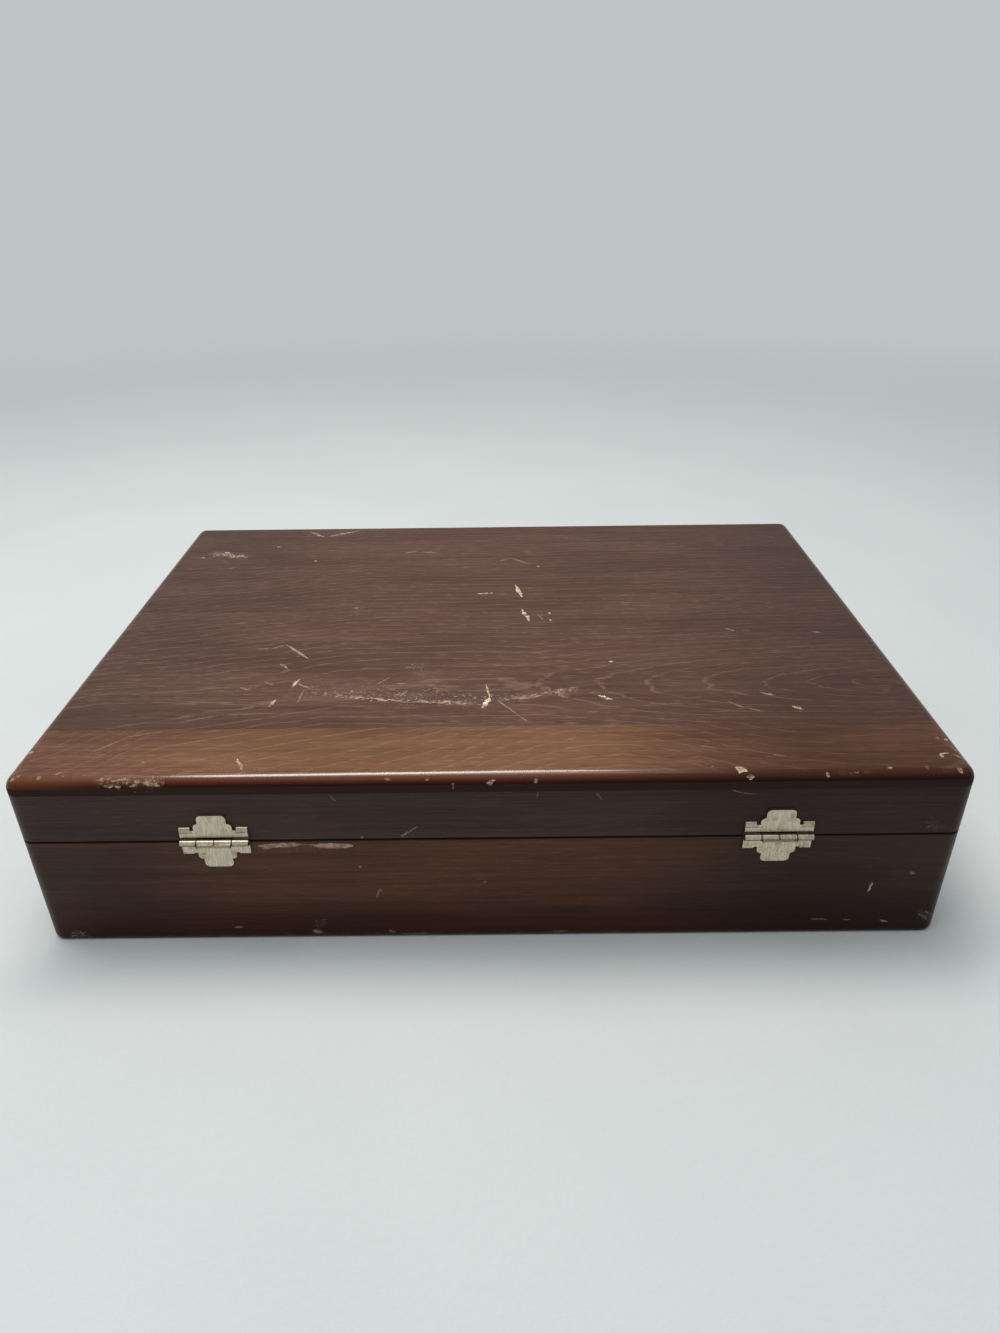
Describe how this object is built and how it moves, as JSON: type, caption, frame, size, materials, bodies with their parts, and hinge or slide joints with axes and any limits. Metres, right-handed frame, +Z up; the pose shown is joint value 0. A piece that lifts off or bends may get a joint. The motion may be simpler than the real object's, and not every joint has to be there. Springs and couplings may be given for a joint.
{
  "type": "silverware chest",
  "caption": "Shallow hinged wooden chest for table flatware, with a flannel-lined base rack and a knife rack inside its stop-hinged lid.",
  "frame": {"origin": "middle of the base's underside, on the surface that the chest stands on", "axes": "+X to the chest's right as seen from its front, along the long side; +Y to the back, where the hinges are; +Z up"},
  "size_m": [0.381, 0.2793, 0.0843],
  "materials": {
    "side_wood": "dark walnut-stained hardwood under worn lacquer",
    "top_board_wood": "walnut-stained hardwood board, satin lacquer with scratches",
    "top_strip_wood": "lighter walnut-stained hardwood board, satin lacquer",
    "plywood": "thin bare plywood",
    "flannel": "brown anti-tarnish flannel with a short nap",
    "nickel_plate": "dull nickel-plated stamped steel"
  },
  "bodies": {
    "base": {"base_front_wall": "side_wood", "base_back_wall": "side_wood", "base_left_wall": "side_wood", "base_right_wall": "side_wood", "bottom_panel": "plywood", "floor_lining": "flannel", "base_front_lining": "flannel", "base_back_lining": "flannel", "base_left_lining": "flannel", "base_right_lining": "flannel", "serving_partition": "flannel", "front_rack_bar": "flannel", "rear_rack_bar": "flannel", "left_hinge_base_leaf": "nickel_plate", "left_hinge_pin": "nickel_plate", "right_hinge_base_leaf": "nickel_plate", "right_hinge_pin": "nickel_plate"},
    "lid": {"lid_front_rail": "side_wood", "lid_back_rail": "side_wood", "lid_left_rail": "side_wood", "lid_right_rail": "side_wood", "lid_top_board": "top_board_wood", "lid_top_strip": "top_strip_wood", "lid_pad": "flannel", "lid_front_lining": "flannel", "lid_back_lining": "flannel", "lid_left_lining": "flannel", "lid_right_lining": "flannel", "knife_handle_bar": "flannel", "knife_blade_bar": "flannel", "left_hinge_lid_leaf": "nickel_plate", "right_hinge_lid_leaf": "nickel_plate"}
  },
  "joints": [
    {"name": "lid_hinge", "type": "hinge", "parent": "base", "child": "lid", "pos_m": [0, 0.13915, 0.0547], "axis": [-1, 0, 0], "range_deg": [0, 100]}
  ]
}
